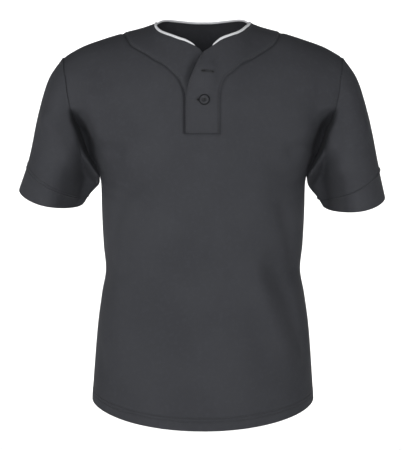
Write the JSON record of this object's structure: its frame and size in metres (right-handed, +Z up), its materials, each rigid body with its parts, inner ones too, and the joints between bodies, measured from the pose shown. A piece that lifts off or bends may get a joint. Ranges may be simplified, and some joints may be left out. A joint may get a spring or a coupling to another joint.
{
  "type": "baseball jersey",
  "caption": "Short-sleeved two-button baseball jersey, filled out as if worn, with crossed front bands and a piped neck; open at neck, cuffs and hem.",
  "frame": {"origin": "level with the two side points of the neck, midway between them and midway in the garment's depth, where the wearer's shoulders hold it up", "axes": "+Z up, -Y towards the front, +X to the right of someone looking at the front"},
  "size_m": [0.655, 0.2644, 0.7322],
  "materials": {
    "jersey_cloth": "matt charcoal polyester knit with a faint sheen",
    "piping_cloth": "matt white knit",
    "button": "satin charcoal resin"
  },
  "bodies": {
    "root": {"front": "jersey_cloth", "back": "jersey_cloth", "sleeve_left": "jersey_cloth", "sleeve_right": "jersey_cloth", "band_under": "jersey_cloth", "band_over": "jersey_cloth", "neck_piping": "piping_cloth", "button_lower": "button", "button_upper": "button"}
  },
  "joints": []
}
